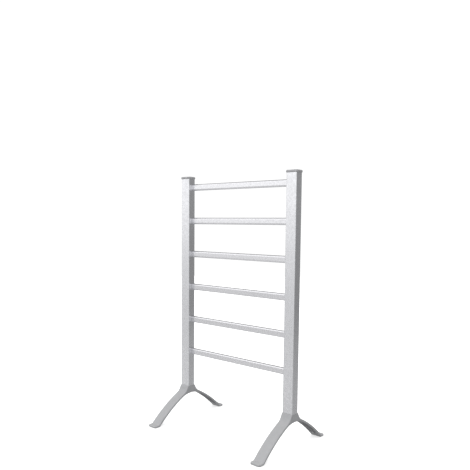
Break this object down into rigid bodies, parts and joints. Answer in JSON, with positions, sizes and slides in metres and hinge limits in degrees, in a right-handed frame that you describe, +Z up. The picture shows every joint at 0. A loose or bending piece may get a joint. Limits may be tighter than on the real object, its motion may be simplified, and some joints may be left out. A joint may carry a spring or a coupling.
{
  "type": "free-standing towel warmer",
  "caption": "Free-standing electric towel warmer: satin aluminium uprights and flat-oval rails on arched grey feet, with a rocker switch",
  "frame": {"origin": "On the floor under the rack's centre, midway between the uprights and midway between the toes' front and back tips", "axes": "+Z up; +X along the rails towards the upright that holds the switch; the front, where the rails are set furthest back from the uprights' faces, towards -Y"},
  "size_m": [0.5244, 0.36, 0.9061],
  "materials": {
    "satin_aluminium": "satin anodised, fine lengthwise grain",
    "rail_aluminium": "satin anodised, fine lengthwise grain",
    "cap_moulding": "fine matt texture",
    "foot_moulding": "fine matt texture",
    "foot_rubber": "matt",
    "plug_metal": "plain cast light metal",
    "fastener_steel": "zinc plated",
    "plug_moulding": "matt heatproof moulding",
    "cable_silicone": "matt silicone",
    "switch_moulding": "satin",
    "rocker_moulding": "satin",
    "terminal_brass": "plain",
    "block_ceramic": "unglazed ceramic",
    "cutout_case": "matt",
    "gland_moulding": "matt",
    "lead_insulation": "satin insulation"
  },
  "bodies": {
    "frame": {"left_upright": "satin_aluminium", "right_upright": "satin_aluminium", "rail_1": "rail_aluminium", "rail_2": "rail_aluminium", "rail_3": "rail_aluminium", "rail_4": "rail_aluminium", "rail_5": "rail_aluminium", "rail_6": "rail_aluminium", "left_top_cap": "cap_moulding", "right_top_cap": "cap_moulding", "left_foot": "foot_moulding", "right_foot": "foot_moulding", "left_foot_front_pad": "foot_rubber", "left_foot_back_pad": "foot_rubber", "right_foot_front_pad": "foot_rubber", "right_foot_back_pad": "foot_rubber", "left_foot_plug": "plug_metal", "right_foot_plug": "plug_metal", "left_foot_front_screw": "fastener_steel", "left_foot_back_screw": "fastener_steel", "right_foot_front_screw": "fastener_steel", "right_foot_back_screw": "fastener_steel", "left_rail_plug_1": "plug_moulding", "left_rail_plug_2": "plug_moulding", "left_rail_plug_3": "plug_moulding", "left_rail_plug_4": "plug_moulding", "left_rail_plug_5": "plug_moulding", "left_rail_plug_6": "plug_moulding", "right_rail_plug_1": "plug_moulding", "right_rail_plug_2": "plug_moulding", "right_rail_plug_3": "plug_moulding", "right_rail_plug_4": "plug_moulding", "right_rail_plug_5": "plug_moulding", "right_rail_plug_6": "plug_moulding", "left_rail_screw_1": "fastener_steel", "left_rail_screw_2": "fastener_steel", "left_rail_screw_3": "fastener_steel", "left_rail_screw_4": "fastener_steel", "left_rail_screw_5": "fastener_steel", "left_rail_screw_6": "fastener_steel", "right_rail_screw_1": "fastener_steel", "right_rail_screw_2": "fastener_steel", "right_rail_screw_3": "fastener_steel", "right_rail_screw_4": "fastener_steel", "right_rail_screw_5": "fastener_steel", "right_rail_screw_6": "fastener_steel", "heating_cable": "cable_silicone", "switch_housing": "switch_moulding", "switch_supply_terminal": "terminal_brass", "switch_load_terminal": "terminal_brass", "terminal_block": "block_ceramic", "thermal_cutout": "cutout_case", "cord_gland": "gland_moulding", "supply_lead": "lead_insulation", "neutral_lead": "lead_insulation", "switch_lead": "lead_insulation", "cutout_lead": "lead_insulation"},
    "rocker": {"switch_rocker": "rocker_moulding"}
  },
  "joints": [
    {"name": "switch_rocker_tilt", "type": "hinge", "parent": "frame", "child": "rocker", "pos_m": [0.222, 0, 0.187], "axis": [0, 1, 0], "range_deg": [-18, 0]}
  ]
}
